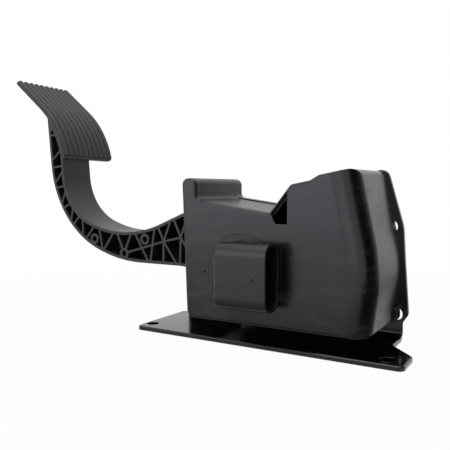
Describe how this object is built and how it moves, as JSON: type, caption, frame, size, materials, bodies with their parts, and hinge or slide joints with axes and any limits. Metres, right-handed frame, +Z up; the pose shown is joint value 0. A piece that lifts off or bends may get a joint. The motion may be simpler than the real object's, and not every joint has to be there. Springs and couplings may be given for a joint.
{
  "type": "accelerator pedal",
  "caption": "Floor-mounted accelerator pedal: ribbed pad on a curved lattice arm, sprung in a moulded housing with an angle sensor and a connector, on a bent steel bracket.",
  "frame": {"origin": "midway between the two floor holes, on the underside of the base plate", "axes": "+X along the base plate from the pad towards the housing, +Y from the connector side towards the upright, +Z up"},
  "size_m": [0.3345, 0.093, 0.1972],
  "materials": {
    "coated_steel": "satin black coating",
    "housing_plastic": "fine moulded grain",
    "lever_plastic": "glass-filled, satin",
    "sensor_plastic": "fine moulded grain",
    "bearing_plastic": "natural acetal",
    "plated_steel": "zinc plated",
    "ground_steel": "ground",
    "spring_steel": "oiled wire",
    "insert_brass": "turned",
    "pin_brass": "tinned",
    "stop_rubber": "matt",
    "seal_rubber": "silicone, matt",
    "board_laminate": "solder resist",
    "chip_plastic": "moulded epoxy",
    "magnet_iron": "sintered"
  },
  "bodies": {
    "base": {"mounting_bracket": "coated_steel", "housing": "housing_plastic", "rear_cover": "housing_plastic", "cover_screws": "plated_steel", "threaded_inserts": "insert_brass", "bracket_screws": "plated_steel", "front_bush": "bearing_plastic", "rear_bush": "bearing_plastic", "thrust_washers": "bearing_plastic", "return_spring_outer": "spring_steel", "return_spring_inner": "spring_steel", "idle_stop": "stop_rubber", "full_travel_stop": "stop_rubber", "sensor_body": "sensor_plastic", "sensor_seal": "seal_rubber", "terminal_pins": "pin_brass", "circuit_board": "board_laminate", "sensor_chips": "chip_plastic"},
    "lever": {"pedal_lever": "lever_plastic", "pivot_shaft": "ground_steel", "spring_seat": "bearing_plastic", "sensor_rotor": "bearing_plastic", "sensor_magnet": "magnet_iron"}
  },
  "joints": [
    {"name": "pedal_hinge", "type": "hinge", "parent": "base", "child": "lever", "pos_m": [-0.0055, 0.017, 0.048], "axis": [0, -1, 0], "range_deg": [0, 15], "stiffness_Nm_per_rad": 13.4, "springref_deg": -15.01, "deforming": ["return_spring_outer", "return_spring_inner"]}
  ]
}
